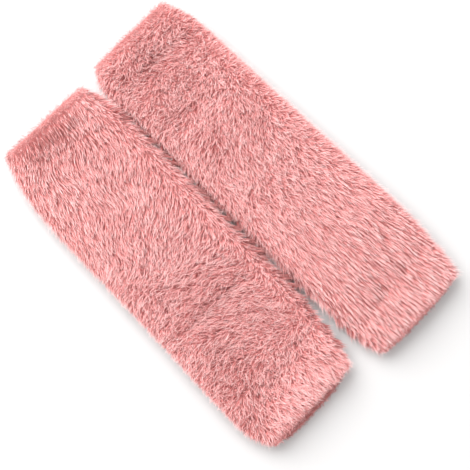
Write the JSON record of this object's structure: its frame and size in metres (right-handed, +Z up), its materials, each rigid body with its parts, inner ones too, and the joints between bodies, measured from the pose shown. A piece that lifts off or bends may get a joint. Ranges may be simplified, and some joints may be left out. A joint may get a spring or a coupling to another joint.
{
  "type": "pair of baby knee pads, long plush leg-warmer tubes",
  "caption": "Pair of soft pull-on tubes of long-pile pink plush, each with a turned cuff at ankle and thigh, that cover a baby's knees and legs; they lie flat side by side",
  "frame": {"origin": "Middle of the pair's footprint, on the surface that the pads lie on", "axes": "+X runs along the pads from the ankle ends to the thigh ends, +Y from the left pad to the right pad, +Z up from the surface"},
  "size_m": [0.31, 0.198, 0.023],
  "materials": {
    "pink_plush": "long soft pile, matte"
  },
  "bodies": {
    "root": {"left_leg": "pink_plush", "left_ankle_cuff": "pink_plush", "left_thigh_cuff": "pink_plush", "right_leg": "pink_plush", "right_ankle_cuff": "pink_plush", "right_thigh_cuff": "pink_plush"}
  },
  "joints": []
}
